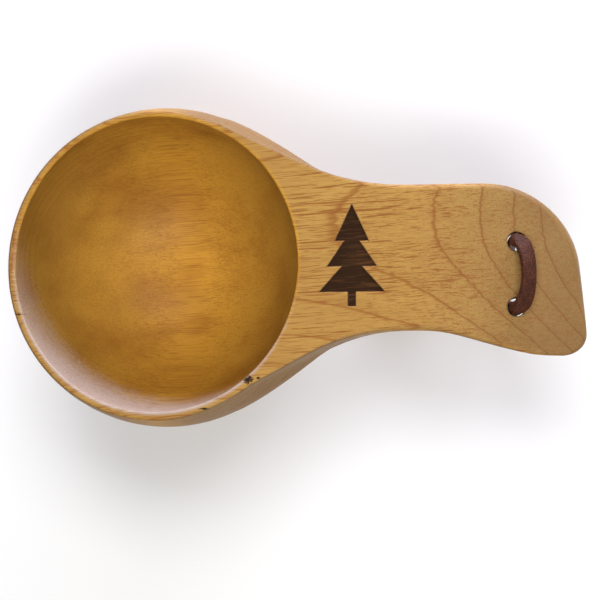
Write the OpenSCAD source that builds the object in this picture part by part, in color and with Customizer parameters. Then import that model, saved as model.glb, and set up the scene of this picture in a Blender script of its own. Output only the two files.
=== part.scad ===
// Carved wooden cup (kuksa) with a broad handle and a leather thong through two holes.
// Millimetres, +Z up. The origin is the centre of the flat foot, and +X runs along the handle.

/* [Bowl] */
// Inside diameter of the bowl at the rim
opening_d = 89; // [80:1:94]
// Height of the rim above the foot
cup_h = 54; // [50:1:60]
// Width of the flat rim
rim_t = 2.1; // [1.8:0.1:3]
// How far the outer wall swells beyond the rim
bulge = 2.4; // [0.5:0.1:3]
// Thickness of the wood under the middle of the bowl
floor_t = 9; // [8:0.5:11]
// Diameter of the flat foot
foot_d = 58; // [52:1:62]

/* [Handle] */
// Distance from the bowl's axis to the end of the handle
reach = 128.5; // [124:0.5:134]
// Thickness where the neck becomes the handle
handle_t = 12; // [10:0.5:13]
// Thickness at the far end
end_t = 7.5; // [6.5:0.5:9]
// How far the top face bends down by the far end
droop = 7.5; // [4:0.5:9]

/* [Mark] */
// Length of the burned mark across the handle
mark_l = 30; // [20:1:32]
// Depth of the burned mark
mark_deep = 0.3; // [0.2:0.1:0.6]

/* [Thong] */
// Diameter of the two thong holes
hole_d = 5.3; // [5.2:0.1:5.8]
// Distance between the two holes
hole_gap = 19; // [18:0.5:20]
// Width of the leather strip
strip_w = 5; // [4.6:0.1:5.2]
// Thickness of the leather strip
strip_t = 1.8; // [1.6:0.1:2]
// Height of the arch that the strip makes over the face
arch_h = 4; // [3:0.5:6]
// How far the arch leans towards the end of the handle
arch_lean = 3.4; // [2:0.2:4]

/* [Hidden] */
$fn = 128;

wood = [0.78, 0.61, 0.35];
leather = [0.37, 0.22, 0.13];

// Bowl: superellipses inside and out, and a shallow bow from the widest line up to the rim.
rim_r = opening_d / 2;
outer_rim_r = rim_r + rim_t;
widest_r = outer_rim_r + bulge;
widest_drop = 15;
widest_z = cup_h - widest_drop;
cavity_h = cup_h - floor_t;
cavity_power = 2;
outer_power = 2;
// Half height of the outer superellipse that is foot_d across at the foot.
outer_h = widest_z / (1 - (foot_d / 2 / widest_r) ^ outer_power) ^ (1 / outer_power);
over = 1;

// Handle: top face flat as far as bend_x, then bent down on one long arc.
bend_x = 78;
bend_r = ((reach - bend_x) ^ 2 + droop ^ 2) / (2 * droop);
// Underside: an S-curve from the deep neck to the handle, crowned on a wide radius across.
neck_x0 = 38;
neck_x1 = 88;
neck_deep = 24;
crown_up = 50;

// Thong holes, square to the bent face.
hole_x = 109.2;
hole_y = -4.1;
hole_tilt = asin((hole_x - bend_x) / bend_r);
hole_z = cup_h - bend_r * (1 - cos(hole_tilt));

// Legs of the strip: pulled against the outer side of each hole, and a little proud of the face.
leg_w = 4.2;
leg_out = 0.75;
leg_down = 10.5;
leg_proud = 0.7;
// Arch of the strip: its steps, and the turn that its width makes as it leans.
arch_steps = 20;
lean_turn = atan(arch_lean / arch_h);
// Straight drop below each hole, back on the hole's axis, before the run bends towards the bowl.
drop_l = 23.5;
drop_step = 4.7;
run_w = 4.6;

// Routes of the two runs past the straight drop, down to the table and into the knot.
bend_upper = [[102.2, 4.9, 13.4], [100.6, 4.6, 9.8], [98, 4.1, 6.5], [94.8, 3.4, 4], [91, 2.6, 2.3],
              [87, 1.7, 1.6], [83, 0.8, 2.2], [79.5, 0.1, 3.6], [76, -0.5, 4.7], [72.7, -1, 5.2]];
bend_lower = [[102.2, -13, 13.4], [100.5, -12.5, 9.6], [97.9, -11.6, 6], [94.6, -10.3, 3.4],
              [90.9, -8.7, 1.8], [87, -7, 1.2], [83.2, -5.4, 1.1], [79.6, -4, 1.3], [76, -2.8, 2],
              [72.7, -2, 2.9]];
// Knot in the two runs, and the two ends past it.
knot_x = 65.8;
knot_y = -1.5;
knot_r = 5;
knot_l = 13.4;
route_end_upper = [[58.8, -0.6, 5.6], [56, 0.5, 4.6], [53, 1.8, 3], [50, 3.1, 1.7], [47.4, 4.2, 1.1]];
route_end_lower = [[58.8, -2.4, 3.2], [56, -3.8, 2], [53, -5.4, 1.2], [50, -7.1, 1.1], [48, -8.4, 1.1]];

// Hole frame: up the hole's axis, and across it towards the end of the handle.
hole_up = [sin(hole_tilt), 0, cos(hole_tilt)];
hole_out = [cos(hole_tilt), 0, -sin(hole_tilt)];
hole_mid = [hole_x, hole_y, hole_z];

function unit(v) = v / norm(v);
// A point up along a hole's axis, moved outward from it.
function side_point(side, up, out) = hole_mid + [0, side * (hole_gap / 2 + out), 0] + hole_up * up;

// Arc that rounds the corner at p between the sides to a and b.
function rounded_corner(a, p, b, r) =
    let (u = unit(a - p), v = unit(b - p), half = acos(u * v) / 2)
    let (c = p + unit(u + v) * r / sin(half), s = p + u * r / tan(half) - c, turn = 180 - 2 * half)
    let (way = cross([s.x, s.y, 0], [u.x, u.y, 0]).z > 0 ? -1 : 1, n = ceil(turn / 6))
    [for (i = [0:n])
        let (t = way * turn * i / n)
        c + [s.x * cos(t) - s.y * sin(t), s.x * sin(t) + s.y * cos(t)]];

// Outline through corners [x, y, radius]; a radius of 0 keeps the corner sharp.
function outline(corners) =
    let (n = len(corners))
    [for (i = [0:n - 1])
        let (q = corners[i], a = corners[(i + n - 1) % n], b = corners[(i + 1) % n])
        each q[2] == 0 ? [[q.x, q.y]] : rounded_corner([a.x, a.y], [q.x, q.y], [b.x, b.y], q[2])];

function outer_bowl_r(z) =
    z > widest_z ? widest_r - bulge * ((z - widest_z) / widest_drop) ^ 2
    : widest_r * (1 - ((widest_z - z) / outer_h) ^ outer_power) ^ (1 / outer_power);

function face_drop(x) = x <= bend_x ? 0 : bend_r * (1 - cos(asin((x - bend_x) / bend_r)));

function handle_depth(x) =
    x > neck_x1 ? face_drop(x) + handle_t - (handle_t - end_t) * (x - neck_x1) / (reach - neck_x1)
    : face_drop(x) + handle_t
      + (neck_deep - handle_t) * (1 + cos(180 * (max(x, neck_x0) - neck_x0) / (neck_x1 - neck_x0))) / 2;

// Flat strip swept along points; each row is [point, width direction, width].
function strip_ring(p, along, across, w) =
    let (a = unit(across - along * (across * along)), b = cross(along, a), x = w / 2, y = strip_t / 2)
    [for (q = [[x, y / 2], [x - y / 2, y], [y / 2 - x, y], [-x, y / 2],
               [-x, -y / 2], [y / 2 - x, -y], [x - y / 2, -y], [x, -y / 2]]) p + a * q[0] + b * q[1]];

module strip(rows) {
    n = len(rows);
    m = 8;
    rings = [for (i = [0:n - 1])
        let (along = unit(rows[min(i + 1, n - 1)][0] - rows[max(i - 1, 0)][0]))
        each strip_ring(rows[i][0], along, rows[i][1], rows[i][2])];
    sides = [for (i = [0:n - 2], j = [0:m - 1])
        let (a = i * m + j, b = i * m + (j + 1) % m)
        each [[a, b, b + m], [a, b + m, a + m]]];
    first = [for (j = [m - 1:-1:0]) j];
    last = [for (j = [0:m - 1]) (n - 1) * m + j];
    polyhedron(concat(rings), concat([first], sides, [last]));
}

module bowl_outside() {
    step = 3;
    rotate([0, 0, 180])
        rotate_extrude()
            polygon(concat([[0, 0]], [for (z = [0:step:cup_h]) [outer_bowl_r(z), z]], [[0, cup_h]]));
}

module bowl_inside() {
    step = 5;
    rotate([0, 0, 180])
        rotate_extrude()
            polygon(concat([for (t = [0:step:90])
                               [rim_r * sin(t) ^ (2 / cavity_power),
                                cup_h - cavity_h * cos(t) ^ (2 / cavity_power)]],
                           [[rim_r, cup_h + over], [0, cup_h + over]]));
}

// Outline of the neck and handle from above, starting where it leaves the round rim.
module handle_plan() {
    upper_slope = 25.6;
    lower_slope = 28.1;
    upper_waist = 22.4;
    lower_waist = -20.3;
    waist_end = 87;
    lower_flare = [reach - 14, -28];
    lower_tip = [reach + 1, -29.9];
    upper_tip = [reach - 5.3, upper_waist];
    upper_neck_round = 72;
    lower_neck_round = 60;
    waist_round = 45;
    flare_round = 30;
    lower_tip_round = 6.7;
    upper_tip_round = 27;
    // A little inside the round rim, so that the neck's flanks cross the bowl's wall.
    start_r = outer_rim_r - 0.15;
    upper_start = start_r * [sin(upper_slope), cos(upper_slope)];
    lower_start = start_r * [sin(lower_slope), -cos(lower_slope)];
    upper_neck = upper_start.x + (upper_start.y - upper_waist) / tan(upper_slope);
    lower_neck = lower_start.x + (lower_waist - lower_start.y) / tan(lower_slope);
    polygon(outline([[0, 0, 0],
                     [lower_start.x, lower_start.y, 0],
                     [lower_neck, lower_waist, lower_neck_round],
                     [waist_end, lower_waist, waist_round],
                     [lower_flare.x, lower_flare.y, flare_round],
                     [lower_tip.x, lower_tip.y, lower_tip_round],
                     [upper_tip.x, upper_tip.y, upper_tip_round],
                     [upper_neck, upper_waist, upper_neck_round],
                     [upper_start.x, upper_start.y, 0]]));
}

// Side view of the top face, flat and then bent down, as a slab across the handle.
module handle_top() {
    step = 3;
    far = reach + 4;
    span = 140;
    rotate([90, 0, 0])
        linear_extrude(span, center = true)
            polygon(concat([[0, 0], [0, cup_h]], [for (x = [bend_x:step:far]) [x, cup_h - face_drop(x)]],
                           [[far, cup_h - face_drop(far)], [far, 0]]));
}

// Crowned underside, a body of revolution about a line above the handle.
module handle_underside() {
    step = 2.5;
    near = 10;
    far = reach + 4;
    translate([0, 0, cup_h + crown_up])
        rotate([0, 90, 0])
            rotate([0, 0, 180])
                rotate_extrude()
                    polygon(concat([[0, near]], [for (x = [near:step:far]) [crown_up + handle_depth(x), x]],
                                   [[0, near + step * floor((far - near) / step)]]));
}

module thong_holes() {
    for (side = [-1, 1])
        translate([hole_x, hole_y + side * hole_gap / 2, hole_z])
            rotate([0, hole_tilt, 0])
                cylinder(h = 2 * handle_t + 4, d = hole_d, center = true);
}

// Small spruce burned into the face, its tip towards +Y: tiers of branches on a trunk.
module burned_mark() {
    mark_x = 61;
    mark_y = 1.9;
    tiers = 3;
    tier_h = mark_l * 0.36;
    tier_step = mark_l * 0.25;
    trunk_h = mark_l * 0.14;
    trunk_w = mark_l * 0.08;
    low_tier_w = mark_l * 0.66;
    narrower = mark_l * 0.16;
    translate([mark_x, mark_y - mark_l / 2, cup_h - mark_deep])
        linear_extrude(over + mark_deep)
            union() {
                translate([-trunk_w / 2, 0]) square([trunk_w, trunk_h + over]);
                for (i = [0:tiers - 1])
                    let (half_w = (low_tier_w - i * narrower) / 2)
                    translate([0, trunk_h + i * tier_step]) polygon([[-half_w, 0], [half_w, 0], [0, tier_h]]);
            }
}

module cup_body() {
    color(wood)
        difference() {
            union() {
                bowl_outside();
                intersection() {
                    linear_extrude(cup_h) handle_plan();
                    handle_top();
                    handle_underside();
                }
            }
            bowl_inside();
            thong_holes();
            burned_mark();
        }
}

// The strip over the face, with its two legs down through the holes.
module thong_bight() {
    legs = [0:0.25:1];
    leg_l = leg_down + leg_proud;
    color(leather)
        strip(concat(
            [for (k = legs) [side_point(1, leg_proud - leg_l * (1 - k), leg_out), hole_out, leg_w]],
            [for (i = [1:arch_steps - 1])
                let (t = 180 * i / arch_steps, turn = lean_turn * sin(t))
                [side_point(cos(t), leg_proud, leg_out)
                     + (hole_up * (arch_h - leg_proud) + hole_out * arch_lean) * sin(t),
                 hole_out * cos(turn) - hole_up * sin(turn),
                 leg_w + (strip_w - leg_w) * min(1, 2 * sin(t))]],
            [for (k = legs) [side_point(-1, leg_proud - leg_l * k, leg_out), hole_out, leg_w]]));
}

// One free run: straight down out of its hole with a quarter turn, then along its bend.
module run(side, bend) {
    color(leather)
        strip(concat(
            [for (d = [0:drop_step:drop_l])
                let (turn = 90 * min(1, max(0, (d - drop_step) / (drop_l - 2 * drop_step))))
                let (out = leg_out * max(0, 1 - d / drop_step))
                [side_point(side, -leg_down - d, out), [cos(turn), side * sin(turn), 0],
                 leg_w + (run_w - leg_w) * d / drop_l]],
            [for (p = bend) [p, [0, side, 0], run_w]]));
}

module thong_run_upper() {
    run(1, bend_upper);
}

module thong_run_lower() {
    run(-1, bend_lower);
}

module thong_knot() {
    step = 10;
    power = 2.6;
    color(leather)
        translate([knot_x, knot_y, knot_r + 0.1])
            rotate([0, 90, 0])
                rotate_extrude()
                    polygon([for (t = [-90:step:90])
                        [knot_r * cos(t) ^ (2 / power), sign(t) * knot_l / 2 * abs(sin(t)) ^ (2 / power)]]);
}

module thong_end(route) {
    color(leather) strip([for (p = route) [p, [0, 1, 0], run_w]]);
}

module thong_end_upper() {
    thong_end(route_end_upper);
}

module thong_end_lower() {
    thong_end(route_end_lower);
}

cup_body();
thong_bight();
thong_run_upper();
thong_run_lower();
thong_knot();
thong_end_upper();
thong_end_lower();
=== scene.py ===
"""Looks of the carved wooden cup and its leather thong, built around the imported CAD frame."""
import math

import bpy
import numpy as np
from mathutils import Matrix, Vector


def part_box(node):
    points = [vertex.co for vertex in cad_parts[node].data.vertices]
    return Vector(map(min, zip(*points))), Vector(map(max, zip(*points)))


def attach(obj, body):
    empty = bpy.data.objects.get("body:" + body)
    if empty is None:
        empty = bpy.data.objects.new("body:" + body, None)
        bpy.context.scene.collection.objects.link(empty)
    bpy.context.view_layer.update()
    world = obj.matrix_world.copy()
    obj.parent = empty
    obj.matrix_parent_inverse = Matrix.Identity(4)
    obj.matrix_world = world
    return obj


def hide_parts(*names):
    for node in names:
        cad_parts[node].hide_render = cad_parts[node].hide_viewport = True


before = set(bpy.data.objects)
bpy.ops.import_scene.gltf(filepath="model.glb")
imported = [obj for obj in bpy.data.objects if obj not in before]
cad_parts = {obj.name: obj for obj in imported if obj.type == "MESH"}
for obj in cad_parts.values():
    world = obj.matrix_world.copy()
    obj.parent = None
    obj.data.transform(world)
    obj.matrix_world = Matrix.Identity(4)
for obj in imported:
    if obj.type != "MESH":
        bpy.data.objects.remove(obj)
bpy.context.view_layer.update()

MM = 0.001

# Sizes below are in millimetres, as in the design. The frame gives the outer ones.
CUP_LOW, CUP_HIGH = (np.array(corner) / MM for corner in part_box("cup_body"))
CUP_H = CUP_HIGH[2]
WIDEST_R = -CUP_LOW[0]

# Bowl
OPENING_R = 44.5
RIM_T = 2.1
BULGE = 2.4
WIDEST_DROP = 15.0
FLOOR_T = 9.0
FOOT_R = 29.0
CAVITY_POWER = 2.0
# Turned by hand, the outer wall is off the hollow's centre: by this much above WALL_OFF_HIGH, and not at
# all below WALL_OFF_LOW.
WALL_OFF = (-0.35, -0.35)
WALL_OFF_LOW = 4.0
WALL_OFF_HIGH = 30.0

# Handle: the top face is flat as far as BEND_X and then bends down on one long arc.
BEND_X = 78.0
REACH = 128.5
DROOP = 7.5
HANDLE_T = 12.0
END_T = 7.5
NECK_X0 = 38.0
NECK_X1 = 88.0
NECK_DEEP = 24.0
CROWN_UP = 50.0

# How far the edges are rounded
FOOT_ROUND = 1.6
UNDER_ROUND = 3.0
RIM_ROUND = 0.45
HOLE_ROUND = 0.4
# The top face's edge grows rounder over this stretch of X.
TOP_ROUND_BOWL = 0.5
TOP_ROUND_END = 1.7
TOP_ROUND_X0 = 45.0
TOP_ROUND_X1 = 90.0
# The neck runs into the bowl's wall on a fillet that grows wider between these depths below the rim.
FILLET_HIGH = 1.0
FILLET_LOW = 10.0
FILLET_FROM = 3.0
FILLET_TO = 18.0

# Thong and its holes
HOLE_X = 109.2
HOLE_Y = -4.1
HOLE_R = 2.65
HOLE_GAP = 19.0

# A small spruce burned into the face, its tip towards +Y: a trunk and three tiers of branches.
SPRUCE_L = 30.0
SPRUCE_X = 61.0
SPRUCE_LOW = 1.9 - SPRUCE_L / 2
SPRUCE_DEEP = 0.3
TRUNK_H = 0.14 * SPRUCE_L
TRUNK_W = 0.08 * SPRUCE_L
TIER_H = 0.36 * SPRUCE_L
# Each tier's base above the trunk, and its half width.
TIERS = [(i * 0.25 * SPRUCE_L, (0.33 - 0.08 * i) * SPRUCE_L) for i in range(3)]

WIDEST_Z = CUP_H - WIDEST_DROP
CAVITY_H = CUP_H - FLOOR_T
OUTER_H = WIDEST_Z / math.sqrt(1 - (FOOT_R / WIDEST_R) ** 2)
BEND_R = ((REACH - BEND_X) ** 2 + DROOP ** 2) / (2 * DROOP)
HOLE_TILT = math.asin((HOLE_X - BEND_X) / BEND_R)
HOLE_MID = np.array([HOLE_X, HOLE_Y, CUP_H - BEND_R * (1 - math.cos(HOLE_TILT))])
HOLE_UP = np.array([math.sin(HOLE_TILT), 0, math.cos(HOLE_TILT)])
HOLE_OUT = np.array([math.cos(HOLE_TILT), 0, -math.sin(HOLE_TILT)])
ACROSS = np.array([0.0, 1.0, 0.0])


# ---------------------------------------------------------------- camera

# Nearly overhead, leaning towards the handle and a little towards -Y; in metres and radians.
CAMERA_PLACE = (0.1858, -0.0307, 0.6178)
CAMERA_TURN = (0.0336, 0.2441, 0)
CAMERA_LENS = 118.1
CAMERA_SENSOR = 36.0


def add_camera():
    data = bpy.data.cameras.new("camera")
    data.lens = CAMERA_LENS
    data.sensor_width = CAMERA_SENSOR
    camera = bpy.data.objects.new("camera", data)
    camera.location = CAMERA_PLACE
    camera.rotation_euler = CAMERA_TURN
    bpy.context.collection.objects.link(camera)
    bpy.context.scene.camera = camera


add_camera()


# ---------------------------------------------------------------- meshes from arrays

def mesh_object(name, points_mm, faces, normals=None):
    """A smooth-shaded mesh object in metres from points in millimetres."""
    mesh = bpy.data.meshes.new(name)
    corners = [[int(corner) for corner in face] for face in faces]
    mesh.from_pydata((np.asarray(points_mm) * MM).tolist(), [], corners)
    mesh.update()
    mesh.polygons.foreach_set("use_smooth", [True] * len(mesh.polygons))
    if normals is not None:
        mesh.normals_split_custom_set_from_vertices(normals.tolist())
    piece = bpy.data.objects.new(name, mesh)
    bpy.context.collection.objects.link(piece)
    return piece


# ---------------------------------------------------------------- thong: routes of the leather strip

STRIP_W = 5.0
STRIP_T = 1.8
# The strip's section is a superellipse of this power, close to a rectangle, with this many points.
STRIP_SQUARE = 5.0
STRIP_SIDES = 28
# A cut end's worn edge: how far each ring is pushed out along the strip, and how much it shrinks.
CUT_EDGE = ((0.0, 0.0), (0.08, 0.03), (0.14, 0.12), (0.16, 0.35))

# Legs: the strip rolls up to fill its holes, so it is narrower and thicker there, its middle stands out and
# its edges fall back.
CURL_RISE = 0.5
CURL_FALL = 1.2
LEG_W = 4.4
LEG_T = 3.0
LEG_OUT = 0.4
LEG_DOWN = 10.5
LEG_PROUD = 0.7
LEG_ROWS = 14

# Arch over the face, with the part of the curl that is left in it.
ARCH_H = 4.0
ARCH_LEAN = 3.4
ARCH_CURL = 0.15
ARCH_STEPS = 60

# Free runs below the holes
RUN_W = 4.6
DROP_L = 23.5
DROP_STEP = 4.7

# The two runs past their straight drop, as in the design: down to the table and into the knot.
BEND_UPPER = [(102.2, 4.9, 13.4), (100.6, 4.6, 9.8), (98, 4.1, 6.5), (94.8, 3.4, 4), (91, 2.6, 2.3),
              (87, 1.7, 1.6), (83, 0.8, 2.2), (79.5, 0.1, 3.6), (76, -0.5, 4.7), (72.7, -1, 5.2)]
BEND_LOWER = [(102.2, -13, 13.4), (100.5, -12.5, 9.6), (97.9, -11.6, 6), (94.6, -10.3, 3.4),
              (90.9, -8.7, 1.8), (87, -7, 1.2), (83.2, -5.4, 1.1), (79.6, -4, 1.3), (76, -2.8, 2),
              (72.7, -2, 2.9)]
END_UPPER = [(58.8, -0.6, 5.6), (56, 0.5, 4.6), (53, 1.8, 3), (50, 3.1, 1.7), (47.4, 4.2, 1.1)]
END_LOWER = [(58.8, -2.4, 3.2), (56, -3.8, 2), (53, -5.4, 1.2), (50, -7.1, 1.1), (48, -8.4, 1.1)]

# Knot, and how its two strands wind round each other.
KNOT_MID = np.array([65.8, -1.5, 5.1])
KNOT_R = 5.0
KNOT_L = 13.4
KNOT_PHASE = 0.3
KNOT_TURNS = 1.25
KNOT_STEPS = 80
KNOT_STRAND_W = 4.3
KNOT_STRAND_IN = 0.15
KNOT_STRAND_SHORT = 3.0
KNOT_TAPER = 0.3


def side_point(side, up, out):
    """A point up along a hole's axis and moved outward: side 1 is the upper hole, -1 the lower one."""
    return HOLE_MID + side * (HOLE_GAP / 2 + out) * ACROSS + up * HOLE_UP


def smooth_route(points, per_span=6):
    """A Catmull-Rom curve through the points."""
    points = np.asarray(points, float)
    padded = np.concatenate([[2 * points[0] - points[1]], points, [2 * points[-1] - points[-2]]])
    spans = []
    for a, b, c, d in zip(padded, padded[1:], padded[2:], padded[3:]):
        t = (np.arange(per_span) / per_span)[:, None]
        bend = (2 * a - 5 * b + 4 * c - d) * t ** 2
        twist = (3 * b - a - 3 * c + d) * t ** 3
        spans.append(0.5 * (2 * b + (c - a) * t + bend + twist))
    return np.concatenate(spans + [points[-1:]])


def unit(vectors):
    return vectors / np.linalg.norm(vectors, axis=-1, keepdims=True)


def strip_mesh(name, centre, across, width, curl=0.0, thick=STRIP_T):
    """A flat strip with rounded edges along a route, its cut ends slightly rounded over.

    A curled strip is bowed across its width: its middle stands out and its edges fall back.
    """
    centre = np.asarray(centre, float)
    count = len(centre)
    along = unit(np.gradient(centre, axis=0))
    across = np.broadcast_to(across, centre.shape)
    side = unit(across - (across * along).sum(1, keepdims=True) * along)
    face = np.cross(along, side)
    width = np.broadcast_to(width, count)
    curl = np.broadcast_to(curl, count)
    thick = np.broadcast_to(thick, count)
    sides = STRIP_SIDES
    turn = 2 * math.pi * np.arange(sides) / sides
    cos = np.sign(np.cos(turn)) * np.abs(np.cos(turn)) ** (2 / STRIP_SQUARE)
    sin = np.sign(np.sin(turn)) * np.abs(np.sin(turn)) ** (2 / STRIP_SQUARE)

    def ring(i, push, shrink):
        middle = centre[i] + along[i] * push
        flat = np.outer(cos * (width[i] / 2 - shrink), side[i])
        bow = curl[i] * (CURL_RISE - CURL_FALL * cos ** 2)
        return middle + flat + np.outer(sin * (thick[i] / 2 - shrink) + bow, face[i])

    rings = [ring(0, -push, shrink) for push, shrink in reversed(CUT_EDGE)]
    rings += [ring(i, 0, 0) for i in range(1, count - 1)]
    rings += [ring(count - 1, push, shrink) for push, shrink in CUT_EDGE]
    caps = [rings[0].mean(0), rings[-1].mean(0)]
    points = np.concatenate(rings + [np.array(caps)])
    last = (len(rings) - 1) * sides
    faces = []
    for i in range(len(rings) - 1):
        for j in range(sides):
            k = (j + 1) % sides
            faces.append((i * sides + j, i * sides + k, (i + 1) * sides + k, (i + 1) * sides + j))
    for j in range(sides):
        k = (j + 1) % sides
        faces.append((k, j, len(points) - 2))
        faces.append((last + j, last + k, len(points) - 1))
    return mesh_object(name, points, faces)


def thong_piece(piece, *nodes):
    """Makes a piece ride with the thong, gives it leather, and has it replace the nodes."""
    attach(piece, "thong")
    if nodes:
        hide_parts(*nodes)
    thong_pieces.append(piece)
    return piece


def make_bight():
    """The arch over the face, leaning towards the end of the handle, and its two legs."""
    legs = np.linspace(-LEG_DOWN, LEG_PROUD, LEG_ROWS)
    lean_turn = math.atan2(ARCH_LEAN, ARCH_H)
    reach = HOLE_UP * (ARCH_H - LEG_PROUD) + HOLE_OUT * ARCH_LEAN
    rows = [(side_point(1, up, LEG_OUT), HOLE_OUT, LEG_W, 1.0, LEG_T) for up in legs[:-1]]
    for i in range(ARCH_STEPS + 1):
        t = math.pi * i / ARCH_STEPS
        rise = math.sin(t)
        flat = min(1, 2 * rise)
        centre = side_point(math.cos(t), LEG_PROUD, LEG_OUT) + reach * rise
        across = HOLE_OUT * math.cos(lean_turn * rise) - HOLE_UP * math.sin(lean_turn * rise)
        width = LEG_W + (STRIP_W - LEG_W) * flat
        curl = 1 + (ARCH_CURL - 1) * flat
        thick = LEG_T + (STRIP_T - LEG_T) * flat
        rows.append((centre, across, width, curl, thick))
    rows += [(side_point(-1, up, LEG_OUT), HOLE_OUT, LEG_W, 1.0, LEG_T) for up in legs[::-1][1:]]
    centre, across, width, curl, thick = (np.array(column) for column in zip(*rows))
    return thong_piece(strip_mesh("leather_bight", centre, across, width, curl, thick), "thong_bight")


def run_route(side, bend):
    """A free run from its hole's lower mouth on: points, width directions, widths, curl and thickness."""
    rows = []
    for down in np.arange(0, DROP_L + 0.1, DROP_STEP):
        # The part of the hole's hold on the strip that is left, and the quarter turn on the way down.
        held = max(0, 1 - down / DROP_STEP)
        turn = min(max((down - DROP_STEP) / (DROP_L - 2 * DROP_STEP), 0), 1) * math.pi / 2
        centre = side_point(side, -LEG_DOWN - down, LEG_OUT * held)
        across = (math.cos(turn), side * math.sin(turn), 0)
        width = LEG_W + (RUN_W - LEG_W) * down / DROP_L
        rows.append((centre, across, width, -side * held, STRIP_T + (LEG_T - STRIP_T) * held))
    rows += [(np.array(point, float), (0, side, 0), RUN_W, 0, STRIP_T) for point in bend]
    columns = (smooth_route(np.array(column).reshape(len(rows), -1)) for column in zip(*rows))
    centre, across, width, curl, thick = columns
    return centre, unit(across), width[:, 0], curl[:, 0], thick[:, 0]


def make_run(name, side, bend, node):
    """One free run, and the points of its route."""
    centre, across, width, curl, thick = run_route(side, bend)
    piece = strip_mesh(name, centre, across, width, curl, thick)
    thong_piece(piece, node)
    return piece, centre


def make_knot():
    """An overhand knot in both runs: each strand winds once and a bit round the other."""
    strands = []
    widest = KNOT_R - STRIP_T / 2 - KNOT_STRAND_IN
    half_l = KNOT_L / 2 + KNOT_TAPER
    for number in range(2):
        t = np.linspace(0, 1, KNOT_STEPS)
        x = (0.5 - t) * (KNOT_L - KNOT_STRAND_SHORT)
        radius = widest * np.sqrt(np.clip(1 - (x / half_l) ** 4, 0, 1))
        turn = KNOT_PHASE + number * math.pi + 2 * math.pi * KNOT_TURNS * t
        radial = np.stack([np.zeros_like(x), np.cos(turn), np.sin(turn)], 1)
        centre = KNOT_MID + radial * radius[:, None]
        centre[:, 0] += x
        across = np.cross(unit(np.gradient(centre, axis=0)), radial)
        strand = strip_mesh(f"leather_knot_{number + 1}", centre, across, KNOT_STRAND_W)
        strands.append(thong_piece(strand, *(["thong_knot"] if number == 0 else [])))
    return strands


def make_end(name, route, node):
    """One cut end past the knot."""
    centre = smooth_route(route)
    return thong_piece(strip_mesh(name, centre, ACROSS, RUN_W), node)


def make_thong():
    make_bight()
    upper, upper_route = make_run("leather_run_upper", 1, BEND_UPPER, "thong_run_upper")
    lower, lower_route = make_run("leather_run_lower", -1, BEND_LOWER, "thong_run_lower")
    knot = make_knot()
    ends = [make_end("leather_end_upper", END_UPPER, "thong_end_upper"),
            make_end("leather_end_lower", END_LOWER, "thong_end_lower")]


thong_pieces = []
make_thong()


# ---------------------------------------------------------------- cup: shape as a distance function

def smooth_max(a, b, radius):
    """The larger of two distances, with the edge where they meet rounded to a radius."""
    both = np.hypot(np.maximum(a + radius, 0), np.maximum(b + radius, 0))
    return np.minimum(-radius, np.maximum(a, b)) + both


def smooth_min(a, b, radius):
    """The smaller of two distances, with the corner where they meet filled to a radius."""
    return -smooth_max(-a, -b, radius)


def smooth_step(value, low, high):
    t = np.clip((value - low) / (high - low), 0, 1)
    return t * t * (3 - 2 * t)


def face_drop(x):
    """How far the top face has bent down at x."""
    past = np.clip(x - BEND_X, 0, BEND_R * 0.9)
    return BEND_R - np.sqrt(BEND_R ** 2 - past ** 2)


def handle_depth(x):
    """Depth of the underside's centre line below the rim."""
    taper = (HANDLE_T - END_T) * np.maximum(x - NECK_X1, 0) / (REACH - NECK_X1)
    turn = math.pi * (np.clip(x, NECK_X0, NECK_X1) - NECK_X0) / (NECK_X1 - NECK_X0)
    neck = (NECK_DEEP - HANDLE_T) * (1 + np.cos(turn)) / 2
    return face_drop(x) + HANDLE_T + neck - taper


def superellipse(r, h, half_r, half_h, power):
    """First-order distance to a superellipse of revolution."""
    a = np.maximum(r / half_r, 1e-6)
    b = np.maximum(h / half_h, 1e-6)
    level = (a ** power + b ** power) ** (1 / power)
    slope = np.hypot((a / level) ** (power - 1) / half_r, (b / level) ** (power - 1) / half_h)
    return (level - 1) / slope


def rounded_corner(before, corner, after, radius, step=math.radians(5)):
    """Points of the arc that rounds one corner of an outline."""
    u = (before - corner) / np.linalg.norm(before - corner)
    v = (after - corner) / np.linalg.norm(after - corner)
    half = math.acos(float(np.clip(u @ v, -1, 1))) / 2
    centre = corner + (u + v) / np.linalg.norm(u + v) * radius / math.sin(half)
    start = corner + u * radius / math.tan(half) - centre
    sweep = math.pi - 2 * half
    way = -1 if start[0] * u[1] - start[1] * u[0] > 0 else 1
    count = max(2, math.ceil(sweep / step))
    turns = way * sweep * np.arange(count + 1) / count
    cos, sin = np.cos(turns), np.sin(turns)
    return centre + np.stack([start[0] * cos - start[1] * sin, start[0] * sin + start[1] * cos], 1)


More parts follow.
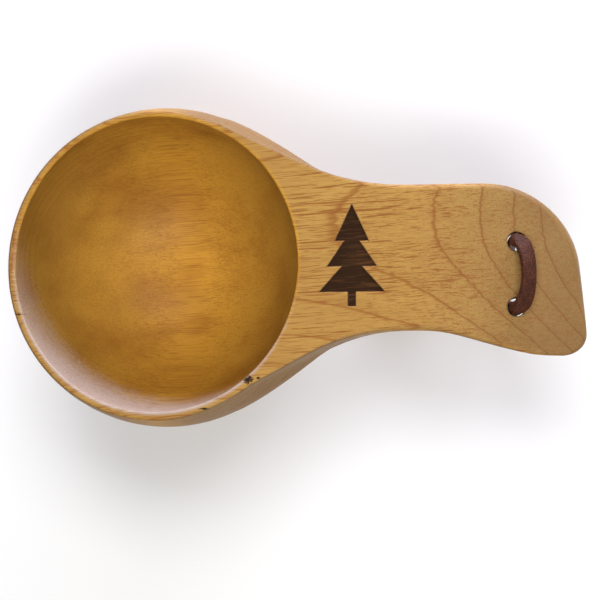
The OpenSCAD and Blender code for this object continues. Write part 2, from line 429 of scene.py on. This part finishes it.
def handle_outline():
    """The neck and handle from above, leaving the round rim on two straight flanks."""
    # The flanks start a little inside the round rim, so that they cross the bowl's wall.
    start_r = OPENING_R + RIM_T - 0.15
    upper_slope, lower_slope = math.radians(25.6), math.radians(28.1)
    upper_waist, lower_waist = 22.4, -20.3
    upper = start_r * np.array([math.sin(upper_slope), math.cos(upper_slope)])
    lower = start_r * np.array([math.sin(lower_slope), -math.cos(lower_slope)])
    upper_neck = upper[0] + (upper[1] - upper_waist) / math.tan(upper_slope)
    lower_neck = lower[0] + (lower_waist - lower[1]) / math.tan(lower_slope)
    # Each corner is x, y and the radius that rounds it; a radius of 0 keeps it sharp.
    corners = [(0, 0, 0),
               (*lower, 0),
               (lower_neck, lower_waist, 60),
               (87, lower_waist, 45),
               (REACH - 14, -28, 30),
               (REACH + 1.3, -29.9, 6.7),
               (REACH - 5, upper_waist, 27),
               (upper_neck, upper_waist, 72),
               (*upper, 0)]
    points = []
    for i, (x, y, radius) in enumerate(corners):
        corner = np.array([x, y])
        if radius == 0:
            points.append(corner[None])
            continue
        before = np.array(corners[i - 1][:2])
        after = np.array(corners[(i + 1) % len(corners)][:2])
        points.append(rounded_corner(before, corner, after, radius))
    return np.concatenate(points)


def polygon_distance(points, x, y):
    """Signed distance from places (x, y) to a closed outline, negative inside."""
    place = np.stack([x, y], -1)
    best = np.full(x.shape, np.inf)
    inside = np.zeros(x.shape, bool)
    for a, b in zip(points, np.roll(points, -1, axis=0)):
        edge = b - a
        offset = place - a
        along = np.clip(offset @ edge / (edge @ edge), 0, 1)
        gap = offset - along[..., None] * edge
        best = np.minimum(best, (gap ** 2).sum(-1))
        crosses = (a[1] > y) != (b[1] > y)
        if a[1] != b[1]:
            inside ^= crosses & (x < a[0] + (y - a[1]) * edge[0] / edge[1])
    return np.where(inside, -1, 1) * np.sqrt(best)


class PlanField:
    """A plan distance sampled once on a fine grid and read back by interpolation."""

    def __init__(self, points, low, high, pitch):
        self.low, self.pitch = np.array(low), pitch
        xs = np.arange(low[0], high[0] + pitch, pitch)
        ys = np.arange(low[1], high[1] + pitch, pitch)
        self.values = polygon_distance(points, *np.meshgrid(xs, ys, indexing="ij"))

    def __call__(self, x, y):
        u = np.clip((x - self.low[0]) / self.pitch, 0, self.values.shape[0] - 1.001)
        v = np.clip((y - self.low[1]) / self.pitch, 0, self.values.shape[1] - 1.001)
        i, j = u.astype(int), v.astype(int)
        s, t = u - i, v - j
        near = self.values[i, j] * (1 - t) + self.values[i, j + 1] * t
        far = self.values[i + 1, j] * (1 - t) + self.values[i + 1, j + 1] * t
        return near * (1 - s) + far * s


MARGIN = 2.0
PLAN_PITCH = 0.25
PLAN = PlanField(handle_outline(), CUP_LOW[:2] - MARGIN, CUP_HIGH[:2] + MARGIN, PLAN_PITCH)


def spruce_inside(x, y):
    """Roughly how far inside the spruce a place is, in millimetres; negative outside."""
    off = np.abs(x - SPRUCE_X)
    above = y - SPRUCE_LOW
    inside = np.minimum(TRUNK_W / 2 - off, np.minimum(above, TRUNK_H + 1 - above))
    for base, half_w in TIERS:
        up = above - TRUNK_H - base
        inside = np.maximum(inside, np.minimum(up, half_w * (1 - up / TIER_H) - off))
    return inside


def cup_distance(x, y, z):
    """Signed distance to the whole cup, in millimetres; first order, and exact enough near its skin."""
    # Outside of the bowl: an ellipse below the widest line and a shallow bow above it.
    off = smooth_step(z, WALL_OFF_LOW, WALL_OFF_HIGH)
    outer_r = np.hypot(x - WALL_OFF[0] * off, y - WALL_OFF[1] * off)
    below = superellipse(outer_r, WIDEST_Z - z, WIDEST_R, OUTER_H, 2)
    rise = (z - WIDEST_Z) / WIDEST_DROP
    bow_slope = 2 * BULGE * rise / WIDEST_DROP
    above = (outer_r - WIDEST_R + BULGE * rise ** 2) / np.sqrt(1 + bow_slope ** 2)
    bowl = smooth_max(np.where(z < WIDEST_Z, below, above), -z, FOOT_ROUND)
    # Neck and handle: the outline from above, over a crowned underside.
    depth_slope = handle_depth(x + 0.5) - handle_depth(x - 0.5)
    crown_r = np.hypot(y, z - CUP_H - CROWN_UP)
    under = (crown_r - CROWN_UP - handle_depth(x)) / np.sqrt(1 + depth_slope ** 2)
    handle = smooth_max(PLAN(x, y), under, UNDER_ROUND)
    grown = smooth_step(CUP_H - z, FILLET_FROM, FILLET_TO)
    fillet = FILLET_HIGH + (FILLET_LOW - FILLET_HIGH) * grown
    solid = smooth_min(bowl, handle, fillet)
    # Top face, with the burned mark sunk into it and an edge that grows rounder along the handle.
    lean = np.clip((x - BEND_X) / BEND_R, 0, 0.9)
    sunk = SPRUCE_DEEP * smooth_step(spruce_inside(x, y), -0.15, 0.2)
    top = (z - CUP_H + face_drop(x) + sunk) * np.sqrt(1 - lean ** 2)
    rounder = smooth_step(x, TOP_ROUND_X0, TOP_ROUND_X1)
    top_round = TOP_ROUND_BOWL + (TOP_ROUND_END - TOP_ROUND_BOWL) * rounder
    solid = smooth_max(solid, top, top_round)
    # Hollow of the bowl, and the two thong holes.
    cavity = superellipse(np.hypot(x, y), CUP_H - z, OPENING_R, CAVITY_H, CAVITY_POWER)
    solid = smooth_max(solid, -cavity, RIM_ROUND)
    along = (x - HOLE_MID[0]) * HOLE_OUT[0] + (z - HOLE_MID[2]) * HOLE_OUT[2]
    for side in (-1, 1):
        hole = np.hypot(along, y - HOLE_Y - side * HOLE_GAP / 2) - HOLE_R
        solid = smooth_max(solid, -hole, HOLE_ROUND)
    return solid


# ---------------------------------------------------------------- cup: skin of the distance function

def surface_net(field, axes):
    """Quads around the zero level of a field sampled on a box grid."""
    values = field(*np.meshgrid(*axes, indexing="ij", sparse=True)).astype(np.float32)
    inside = values < 0
    count = np.zeros([n - 1 for n in inside.shape], np.int8)
    for i in (0, 1):
        for j in (0, 1):
            for k in (0, 1):
                count += inside[i:i - 1 or None, j:j - 1 or None, k:k - 1 or None]
    cells = np.argwhere((count > 0) & (count < 8))
    number = np.full(count.shape, -1, np.int64)
    number[tuple(cells.T)] = np.arange(len(cells))
    # Each cell's vertex is the mean of the places where its edges cross the skin.
    total = np.zeros((len(cells), 3))
    hits = np.zeros(len(cells))
    for axis in range(3):
        step = np.eye(3, dtype=int)[axis]
        others = [np.eye(3, dtype=int)[a] for a in range(3) if a != axis]
        for p in (0, 1):
            for q in (0, 1):
                corner = cells + p * others[0] + q * others[1]
                a = values[tuple(corner.T)]
                b = values[tuple((corner + step).T)]
                crossing = (a < 0) != (b < 0)
                part = np.where(crossing, a / np.where(crossing, a - b, 1), 0)
                total += crossing[:, None] * (corner - cells + part[:, None] * step)
                hits += crossing
    grid = cells + total / hits[:, None]
    points = np.stack([np.interp(grid[:, a], np.arange(len(axes[a])), axes[a]) for a in range(3)], 1)
    quads = []
    for axis in range(3):
        first, second = (axis + 1) % 3, (axis + 2) % 3
        low = [slice(1, -1)] * 3
        low[axis] = slice(0, -1)
        high = list(low)
        high[axis] = slice(1, None)
        here, there = inside[tuple(low)], inside[tuple(high)]
        past_border = [0 if a == axis else 1 for a in range(3)]
        for leaving in (True, False):
            edges = np.argwhere((here == leaving) & (there != leaving)) + past_border
            ring = []
            for da, db in ((-1, -1), (0, -1), (0, 0), (-1, 0)):
                shift = np.zeros(3, int)
                shift[first], shift[second] = da, db
                ring.append(number[tuple((edges + shift).T)])
            quads.append(np.stack(ring if leaving else ring[::-1], 1))
    return points, np.concatenate(quads)


def gradient(field, points, reach=0.02):
    """Slope of a field at the points, by central differences."""
    parts = []
    for axis in range(3):
        shift = np.zeros(3)
        shift[axis] = reach
        parts.append(field(*(points + shift).T) - field(*(points - shift).T))
    return np.stack(parts, 1) / (2 * reach)


def pull_to_skin(field, points, rounds, limit, least=0.05):
    """Newton steps that bring each point onto the zero level, each no longer than the limit."""
    for _ in range(rounds):
        slope = gradient(field, points)
        steepness = np.maximum((slope ** 2).sum(1), least)
        step = field(*points.T)[:, None] * slope / steepness[:, None]
        length = np.linalg.norm(step, axis=1, keepdims=True)
        points = points - step * np.minimum(1, limit / np.maximum(length, 1e-9))
    return points


def relax(points, quads, rounds, field, limit):
    """Evens out the quads: each point moves towards its neighbours' mean and back onto the skin."""
    start, end = np.concatenate([quads[:, [i, (i + 1) % 4]] for i in range(4)]).T
    degree = np.bincount(start, minlength=len(points))
    for _ in range(rounds):
        total = np.stack([np.bincount(start, points[end, a], len(points)) for a in range(3)], 1)
        points = (points + total / degree[:, None]) / 2
        points = pull_to_skin(field, points, 1, limit)
    return pull_to_skin(field, points, 2, limit)


def graded_axis(low, high, pitch, spans, fine):
    """Grid lines a pitch apart, and finer in the spans."""
    lines = []
    for start, stop in spans:
        lines += [np.arange(low, start, pitch), np.arange(start, stop, fine)]
        low = stop
    return np.concatenate(lines + [np.arange(low, high, pitch)])


# Where the cup's mesh is finer: along X and Y, around the spruce and the thong holes.
FINE_X = [(50, 72), (105, 114)]
FINE_Y = [(-18, 18)]


def make_cup():
    pitch, fine = ((0.6, 0.25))
    low, high = CUP_LOW - MARGIN, CUP_HIGH + MARGIN
    axes = [graded_axis(low[0], high[0], pitch, FINE_X, fine),
            graded_axis(low[1], high[1], pitch, FINE_Y, fine),
            np.arange(low[2], high[2], pitch)]
    points, quads = surface_net(cup_distance, axes)
    points = pull_to_skin(cup_distance, points, 2, pitch)
    points = relax(points, quads, 4, cup_distance, pitch)
    normals = gradient(cup_distance, points)
    normals /= np.linalg.norm(normals, axis=1, keepdims=True)
    piece = mesh_object("carved_cup", points, quads, normals)
    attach(piece, "cup")
    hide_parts("cup_body")
    return piece


cup = make_cup()


# ---------------------------------------------------------------- materials

class Graph:
    """Short ways to add and join nodes in one material."""

    def __init__(self, name):
        self.material = bpy.data.materials.new(name)
        self.material.use_nodes = True
        self.tree = self.material.node_tree
        self.shader = self.tree.nodes["Principled BSDF"]
        coordinates = self.add("ShaderNodeTexCoord")
        self.place = self.vector("SCALE", coordinates.outputs["Object"], scale=1 / MM)
        self.normal = coordinates.outputs["Normal"]
        self.x, self.y, self.z = self.split(self.place)

    def add(self, kind, **settings):
        node = self.tree.nodes.new(kind)
        for key, value in settings.items():
            setattr(node, key, value)
        return node

    def feed(self, socket, value):
        """Links a socket to another one, or sets its number or colour."""
        if isinstance(value, bpy.types.NodeSocket):
            self.tree.links.new(value, socket)
        else:
            socket.default_value = value

    def math(self, operation, *values):
        node = self.add("ShaderNodeMath", operation=operation)
        for socket, value in zip(node.inputs, values):
            self.feed(socket, value)
        return node.outputs[0]

    def vector(self, operation, *values, scale=None):
        node = self.add("ShaderNodeVectorMath", operation=operation)
        for socket, value in zip(node.inputs, values):
            self.feed(socket, value)
        if scale is not None:
            self.feed(node.inputs["Scale"], scale)
        return node.outputs["Vector"]

    def length(self, vector):
        """Length of a vector, which a node gives on an output of its own."""
        node = self.add("ShaderNodeVectorMath", operation="LENGTH")
        self.feed(node.inputs[0], vector)
        return node.outputs["Value"]

    def split(self, vector):
        node = self.add("ShaderNodeSeparateXYZ")
        self.feed(node.inputs[0], vector)
        return node.outputs

    def join(self, *values):
        node = self.add("ShaderNodeCombineXYZ")
        for socket, value in zip(node.inputs, values):
            self.feed(socket, value)
        return node.outputs[0]

    def noise(self, place, stretch, detail=3.0, rough=0.5, seed=0.0):
        """Noise whose features measure about 1 / stretch along each axis, in millimetres."""
        node = self.add("ShaderNodeTexNoise", noise_dimensions="4D")
        self.feed(node.inputs["Vector"], self.vector("MULTIPLY", place, stretch))
        self.feed(node.inputs["W"], seed)
        self.feed(node.inputs["Scale"], 1.0)
        self.feed(node.inputs["Detail"], detail)
        self.feed(node.inputs["Roughness"], rough)
        return node.outputs["Fac"]

    def fit(self, value, low, high, to_low=0.0, to_high=1.0, smooth=False):
        """The value carried from one range to another, and held inside the second."""
        node = self.add("ShaderNodeMapRange", interpolation_type="SMOOTHSTEP" if smooth else "LINEAR")
        for name, number in (("Value", value), ("From Min", low), ("From Max", high),
                             ("To Min", to_low), ("To Max", to_high)):
            self.feed(node.inputs[name], number)
        return node.outputs["Result"]

    def mix(self, factor, a, b, blend="MIX"):
        """Two colours mixed. Their sockets share names with the number ones, so they go by place."""
        node = self.add("ShaderNodeMix", data_type="RGBA", blend_type=blend)
        self.feed(node.inputs["Factor"], factor)
        self.feed(node.inputs[6], a)
        self.feed(node.inputs[7], b)
        return node.outputs[2]

    def ramp(self, factor, *stops):
        """Grey levels between stops, each a position and a level."""
        node = self.add("ShaderNodeValToRGB")
        band = node.color_ramp
        while len(band.elements) < len(stops):
            band.elements.new(0.5)
        for element, (position, level) in zip(band.elements, stops):
            element.position = position
            element.color = (level, level, level, 1)
        self.feed(node.inputs["Fac"], factor)
        return node.outputs["Color"]

    def bump(self, height, below=None):
        """A relief from heights in millimetres."""
        node = self.add("ShaderNodeBump")
        self.feed(node.inputs["Height"], height)
        self.feed(node.inputs["Distance"], MM)
        if below is not None:
            self.feed(node.inputs["Normal"], below)
        return node.outputs["Normal"]


# Growth rings: the tree's heart ran under the cup, rising from the bowl towards the handle's end, and the
# fibres run along it. Its y and z are polynomials in x - HEART_X, lowest power first.
HEART_X = 60.0
HEART_Y = (11.9, 0.0602)
HEART_Z = (CUP_H - 103.8, 0.0703, 0.0009)
# One ring ends at RING_R from the heart, and late wood is strong only beyond the young rings.
RING_R = 101.3
RING_STEP = 2.84
YOUNG_R = 86.0
OLD_R = 93.0
YOUNG_LATE = 0.1
OLD_LATE = 0.95
# How far noise bends a ring, in millimetres: over long stretches, and in short ragged ones.
RING_BEND = 0.8
RING_RAGGED = 0.5

# Colours of the wood. END_GRAIN and OILED multiply the colour below them.
LIGHT_WOOD = (0.45, 0.255, 0.062, 1)
DARK_WOOD = (0.27, 0.12, 0.026, 1)
LATE_WOOD = (0.27, 0.10, 0.018, 1)
PORE = (0.235, 0.075, 0.012, 1)
FLECK_WOOD = (0.03, 0.014, 0.008, 1)
CHAR = (0.026, 0.010, 0.003, 1)
CHAR_STREAK = (0.095, 0.040, 0.012, 1)
# Pale lavender painted sheen: a low window's light glancing off the hollow's wall under the rim.
PAINTED_SHEEN_COLOUR = (0.43, 0.36, 0.32, 1)
END_GRAIN = (0.58, 0.63, 0.92, 1)
OILED = (1.22, 1.08, 0.5, 1)

# Colours of the leather
LEATHER_DARK = (0.065, 0.016, 0.006, 1)
LEATHER_LIGHT = (0.15, 0.040, 0.014, 1)
LEATHER_CREASE = (0.020, 0.005, 0.003, 1)

# The painted sheen, a pale crescent of a low window's light on the hollow's wall under the rim, grows paler
# from the first to the second of these distances from its centre.
PAINTED_SHEEN_CENTRE = (1.3, 5.0, 0)
PAINTED_SHEEN_FROM = OPENING_R + 0.5
PAINTED_SHEEN_FULL = OPENING_R + 4.0
PAINTED_SHEEN_MOST = 0.85

# Dark flecks, each a place and its size: a pin knot of two spots beside the bowl, a streak on the rim and a
# short line on its far side.
FLECKS = [((29.6, -34.7, 53.0), (1.9, 1.5, 4.0)), ((32.6, -34.2, 53.5), (0.9, 0.5, 2.0)),
          ((15.8, -43.4, 53.5), (2.0, 0.35, 3.0)), ((-43.2, -14.8, 53.0), (1.6, 0.3, 3.0))]

# Lathe marks under the rim: grooves to a millimetre, their heights, and where they end and are full.
GROOVES = 4.6
GROOVE_DEEP = 0.16
WAVE_H = 0.06
MARKS_END = 30.0
MARKS_FULL = 20.0


def fibre_place(graph):
    """Coordinates that follow the fibres: along X, and off the tree's heart in Y and Z."""
    u = graph.math("SUBTRACT", graph.x, HEART_X)
    heart_y = graph.math("MULTIPLY_ADD", u, HEART_Y[1], HEART_Y[0])
    curve = graph.math("MULTIPLY_ADD", u, HEART_Z[2], HEART_Z[1])
    heart_z = graph.math("MULTIPLY_ADD", u, curve, HEART_Z[0])
    off_y = graph.math("SUBTRACT", graph.y, heart_y)
    off_z = graph.math("SUBTRACT", graph.z, heart_z)
    return graph.join(graph.x, off_y, off_z)


def ring_radius(graph, grain):
    """Distance from the tree's heart, bent a little by noise."""
    off = graph.length(graph.vector("MULTIPLY", grain, (0, 1, 1)))
    wide = graph.math("SUBTRACT", graph.noise(grain, (0.012, 0.04, 0.04), detail=1.0, seed=2.0), 0.5)
    ragged = graph.math("SUBTRACT", graph.noise(grain, (0.05, 0.7, 0.7), detail=2.0, seed=5.0), 0.5)
    bent = graph.math("MULTIPLY_ADD", wide, RING_BEND, off)
    return graph.math("MULTIPLY_ADD", ragged, RING_RAGGED, bent)


def ring_lines(graph, grain):
    """Dark late wood: a thin line at the end of each ring, faint in the rings near the heart."""
    radius = ring_radius(graph, grain)
    rings = graph.math("DIVIDE", graph.math("SUBTRACT", radius, RING_R), RING_STEP)
    phase = graph.math("FRACT", graph.math("ADD", rings, 0.9))
    number = graph.add("ShaderNodeTexWhiteNoise", noise_dimensions="1D")
    graph.feed(number.inputs["W"], graph.math("FLOOR", graph.math("ADD", rings, 0.5)))
    young = graph.math("MULTIPLY", number.outputs["Value"], YOUNG_LATE)
    old = graph.fit(radius, YOUNG_R, OLD_R)
    strength = graph.math("MULTIPLY_ADD", old, graph.math("SUBTRACT", OLD_LATE, young), young)
    late = graph.ramp(phase, (0.0, 0.0), (0.6, 0.04), (0.85, 0.16), (0.88, 1.0), (0.905, 0.8),
                      (0.94, 0.1), (1.0, 0.0))
    return graph.math("MULTIPLY", late, strength)


def hollow_mask(graph, r):
    """1 on the bowl's inner wall, 0 elsewhere, from the level of its superellipse."""
    across = graph.math("POWER", graph.math("DIVIDE", r, OPENING_R), CAVITY_POWER)
    drop = graph.math("MAXIMUM", graph.math("SUBTRACT", CUP_H, graph.z), 0)
    down = graph.math("POWER", graph.math("DIVIDE", drop, CAVITY_H), CAVITY_POWER)
    return graph.fit(graph.math("ADD", across, down), 1.02, 1.06, 1.0, 0.0)


def lathe_marks(graph, r, hollow):
    """Height in millimetres of the fine grooves that turning left below the rim."""
    angle = graph.math("ARCTAN2", graph.math("SUBTRACT", CUP_H, graph.z), r)
    down = graph.math("MULTIPLY", angle, OPENING_R)
    place = graph.join(down, graph.x, graph.y)
    wander = graph.noise(place, (0.5, 0.03, 0.03), detail=2.0, seed=12.0)
    turns = graph.math("MULTIPLY_ADD", wander, 3.0, graph.math("MULTIPLY", down, GROOVES))
    across = graph.math("SUBTRACT", graph.math("FRACT", turns), 0.5)
    grooves = graph.math("MULTIPLY", graph.math("MULTIPLY", across, across), GROOVE_DEEP)
    waves = graph.noise(place, (1.2, 0.02, 0.02), detail=2.0, seed=13.0)
    relief = graph.math("MULTIPLY_ADD", waves, WAVE_H, grooves)
    near_rim = graph.math("MULTIPLY", hollow, graph.fit(down, MARKS_END, MARKS_FULL))
    return graph.math("MULTIPLY", relief, near_rim)


def spruce_nodes(graph):
    """The same as spruce_inside(), as nodes, and only near the top face."""
    off = graph.math("ABSOLUTE", graph.math("SUBTRACT", graph.x, SPRUCE_X))
    above = graph.math("SUBTRACT", graph.y, SPRUCE_LOW)
    trunk = graph.math("MINIMUM", above, graph.math("SUBTRACT", TRUNK_H + 1, above))
    best = graph.math("MINIMUM", graph.math("SUBTRACT", TRUNK_W / 2, off), trunk)
    for base, half_w in TIERS:
        up = graph.math("SUBTRACT", above, TRUNK_H + base)
        flank = graph.math("SUBTRACT", graph.math("MULTIPLY_ADD", up, -half_w / TIER_H, half_w), off)
        best = graph.math("MAXIMUM", best, graph.math("MINIMUM", up, flank))
    return graph.math("MINIMUM", best, graph.math("SUBTRACT", graph.z, CUP_H - 1.0))


def fleck(graph, place, size):
    """A ragged spot around a place, 1 at its middle."""
    reach = graph.length(graph.vector("DIVIDE", graph.vector("SUBTRACT", graph.place, place), size))
    rough = graph.noise(graph.place, (1.8, 2.6, 2.6), detail=4.0, rough=0.75, seed=9.0)
    ragged = graph.math("MULTIPLY_ADD", graph.math("SUBTRACT", rough, 0.5), 3.4, reach)
    return graph.fit(ragged, 1.0, 0.55, smooth=True)


def all_flecks(graph):
    """1 in the middle of every dark fleck, 0 in clear wood."""
    flecks = fleck(graph, *FLECKS[0])
    for place, size in FLECKS[1:]:
        flecks = graph.math("MAXIMUM", flecks, fleck(graph, place, size))
    return flecks


def painted_sheen_crescent(graph):
    """Painted sheen: a pale crescent under the rim on the -X and -Y side, where a low window's light
    glances off the hollow's wall.
    """
    off = graph.vector("SUBTRACT", graph.place, PAINTED_SHEEN_CENTRE)
    reach = graph.length(graph.vector("MULTIPLY", off, (1, 1, 0)))
    streaks = graph.noise(graph.place, (0.09, 1.4, 1.4), detail=6.0, rough=0.75, seed=15.0)
    ragged = graph.math("MULTIPLY_ADD", graph.math("SUBTRACT", streaks, 0.5), 9.0, reach)
    return graph.math("MULTIPLY", graph.fit(ragged, PAINTED_SHEEN_FROM, PAINTED_SHEEN_FULL), PAINTED_SHEEN_MOST)


def vessel_lines(graph, grain, facing):
    """Vessels: long thin tubes along the fibres, so lines on a face along them and dots across them."""
    crowd = graph.noise(grain, (0.02, 0.12, 0.12), detail=2.0, seed=8.0)
    wide = graph.noise(grain, (0.025, 2.9, 1.2), detail=2.0, rough=0.5, seed=7.0)
    wide = graph.math("ADD", wide, graph.fit(crowd, 0.35, 0.65, 0.0, 0.06))
    wide = graph.fit(wide, 0.57, 0.66, smooth=True)
    thin = graph.noise(grain, (0.05, 4.4, 5.0), detail=1.0, seed=17.0)
    thin = graph.math("ADD", thin, graph.fit(crowd, 0.35, 0.65, 0.0, 0.03))
    thin = graph.fit(thin, 0.59, 0.66, smooth=True)
    # Wide ones show most on a face along the fibres, thin ones on a face across them.
    wide = graph.math("MULTIPLY", wide, graph.fit(facing, 0.05, 0.16, 1.0, 0.55))
    thin = graph.math("MULTIPLY", thin, graph.fit(facing, 0.05, 0.16, 0.7, 1.0))
    return graph.math("MAXIMUM", wide, thin)


def bare_wood(graph, grain, fibre, facing, hollow):
    """Colour of the oiled wood before its vessels and flecks, with the painted sheen under the rim."""
    cloud = graph.noise(grain, (0.025, 0.06, 0.06), detail=3.0, seed=3.0)
    streaks = graph.fit(fibre, 0.35, 0.72, -0.05, 0.38)
    shade = graph.math("ADD", streaks, graph.fit(cloud, 0.33, 0.67, -0.1, 0.3))
    # The hollow drank the oil unevenly.
    patches = graph.noise(grain, (0.035, 0.055, 0.055), detail=3.0, rough=0.6, seed=21.0)
    shade = graph.math("MULTIPLY_ADD", graph.fit(patches, 0.38, 0.62, -0.35, 0.32), hollow, shade)
    colour = graph.mix(graph.fit(shade, 0, 1), LIGHT_WOOD, DARK_WOOD)
    colour = graph.mix(graph.math("MULTIPLY", ring_lines(graph, grain), 0.9), colour, LATE_WOOD)
    # Cut fibre ends drink more oil: the wood is darker and greyer where the face turns across the fibres.
    outside = graph.math("MULTIPLY", graph.fit(facing, 0.0, 0.26), graph.fit(hollow, 0, 1, 1.0, 0.0))
    inside = graph.math("MULTIPLY", graph.fit(facing, 0.1, 1.0, 0.0, 0.75), hollow)
    end_grain = graph.mix(1.0, colour, END_GRAIN, "MULTIPLY")
    colour = graph.mix(graph.math("ADD", outside, inside), colour, end_grain)
    colour = graph.mix(hollow, colour, graph.mix(1.0, colour, OILED, "MULTIPLY"))
    # Painted sheen: the window's light glancing off the wall under the rim, mixed into the colour.
    return graph.mix(graph.math("MULTIPLY", painted_sheen_crescent(graph), hollow), colour, PAINTED_SHEEN_COLOUR)


def wood_material():
    graph = Graph("oiled_wood")
    shader = graph.shader.inputs
    grain = fibre_place(graph)
    fibre = graph.noise(grain, (0.03, 2.2, 2.2), detail=5.0, rough=0.62, seed=1.0)
    facing = graph.math("ABSOLUTE", graph.split(graph.normal)[0])
    r = graph.length(graph.join(graph.x, graph.y, 0.0))
    hollow = hollow_mask(graph, r)
    vessels = vessel_lines(graph, grain, facing)
    flecks = all_flecks(graph)
    # The burned mark has a slightly ragged edge, and the fibres show in it.
    ragged = graph.math("ADD", spruce_nodes(graph), graph.fit(fibre, 0.3, 0.7, -0.12, 0.12))
    burn = graph.fit(ragged, -0.1, 0.12, smooth=True)
    streak = graph.noise(grain, (0.02, 0.9, 0.9), detail=4.0, rough=0.7, seed=11.0)
    char = graph.mix(graph.fit(streak, 0.5, 0.72), CHAR, CHAR_STREAK)
    colour = bare_wood(graph, grain, fibre, facing, hollow)
    colour = graph.mix(graph.math("MULTIPLY", vessels, graph.fit(hollow, 0, 1, 0.85, 0.5)), colour, PORE)
    colour = graph.mix(flecks, colour, FLECK_WOOD)
    colour = graph.mix(burn, colour, char)
    graph.feed(shader["Base Color"], colour)
    # A thin coat of oil, but none where the wood is burned or knotty.
    dull = graph.math("MAXIMUM", burn, flecks)
    shine = graph.fit(fibre, 0.3, 0.7, 0.45, 0.6)
    graph.feed(shader["Roughness"], graph.math("MULTIPLY_ADD", dull, 0.3, shine))
    graph.feed(shader["Coat Weight"], graph.fit(dull, 0, 1, 0.12, 0.0))
    shader["Coat Roughness"].default_value = 0.35
    shader["Specular IOR Level"].default_value = 0.12
    turned = graph.bump(lathe_marks(graph, r, hollow))
    relief = graph.math("MULTIPLY_ADD", vessels, -0.02, graph.math("MULTIPLY", fibre, 0.015))
    graph.feed(shader["Normal"], graph.bump(relief, turned))
    graph.feed(shader["Coat Normal"], turned)
    return graph.material


def leather_material():
    graph = Graph("brown_leather")
    shader = graph.shader.inputs
    pebbles = graph.add("ShaderNodeTexVoronoi", feature="SMOOTH_F1")
    graph.feed(pebbles.inputs["Vector"], graph.place)
    graph.feed(pebbles.inputs["Scale"], 2.8)
    away = pebbles.outputs["Distance"]
    tone = graph.noise(graph.place, (0.35, 0.35, 0.35), detail=4.0, seed=4.0)
    fine = graph.noise(graph.place, (3.0, 3.0, 3.0), detail=3.0, seed=6.0)
    colour = graph.mix(graph.fit(tone, 0.3, 0.7), LEATHER_DARK, LEATHER_LIGHT)
    colour = graph.mix(graph.fit(away, 0.15, 0.5, 0.0, 0.75), colour, LEATHER_CREASE)
    graph.feed(shader["Base Color"], colour)
    graph.feed(shader["Roughness"], graph.fit(fine, 0.3, 0.7, 0.45, 0.62))
    shader["Specular IOR Level"].default_value = 0.2
    height = graph.math("MULTIPLY_ADD", fine, 0.03, graph.math("MULTIPLY", away, -0.22))
    graph.feed(shader["Normal"], graph.bump(height))
    return graph.material


cup.data.materials.append(wood_material())
leather = leather_material()
for piece in thong_pieces:
    piece.data.materials.append(leather)


# ---------------------------------------------------------------- floor and light

FLOOR_SIDE = 3.0
FLOOR_GREY = (0.86, 0.86, 0.86, 1)
WORLD_COLOUR = (0.96, 0.97, 1, 1)
WORLD_STRENGTH = 0.2
LIGHT_TARGET = (0.04, 0, 0.03)
# A low window beside the cup and two soft boxes above: name, place, size, watts and colour.
LIGHTS = [("window", (0.22, 1.03, 0.20), (1.15, 0.26), 21, (0.82, 0.82, 1)),
          ("right", (0.25, 0.6, 1.1), (1.0, 0.5), 8.5, (1, 0.99, 0.97)),
          ("left", (0.25, -0.6, 1.1), (1.0, 0.5), 10.5, (1, 0.99, 0.97))]


def add_floor():
    corners = np.array([[-1, -1, 0], [1, -1, 0], [1, 1, 0], [-1, 1, 0]])
    floor = mesh_object("floor", corners * FLOOR_SIDE / 2 / MM, [(0, 1, 2, 3)])
    material = bpy.data.materials.new("pale_floor")
    material.use_nodes = True
    shader = material.node_tree.nodes["Principled BSDF"]
    shader.inputs["Base Color"].default_value = FLOOR_GREY
    shader.inputs["Roughness"].default_value = 0.8
    floor.data.materials.append(material)


def add_area_light(name, place, size, power, colour):
    data = bpy.data.lights.new(name, "AREA")
    data.shape = "RECTANGLE"
    data.size, data.size_y = size
    data.energy = power
    data.color = colour
    light = bpy.data.objects.new(name, data)
    light.location = place
    aim = Vector(LIGHT_TARGET) - Vector(place)
    light.rotation_euler = aim.to_track_quat("-Z", "Y").to_euler()
    bpy.context.collection.objects.link(light)


def add_world():
    world = bpy.data.worlds.new("studio")
    world.use_nodes = True
    background = world.node_tree.nodes["Background"]
    background.inputs["Color"].default_value = WORLD_COLOUR
    background.inputs["Strength"].default_value = WORLD_STRENGTH
    bpy.context.scene.world = world
    bpy.context.scene.view_settings.view_transform = "Standard"


add_floor()
for settings in LIGHTS:
    add_area_light(*settings)
add_world()
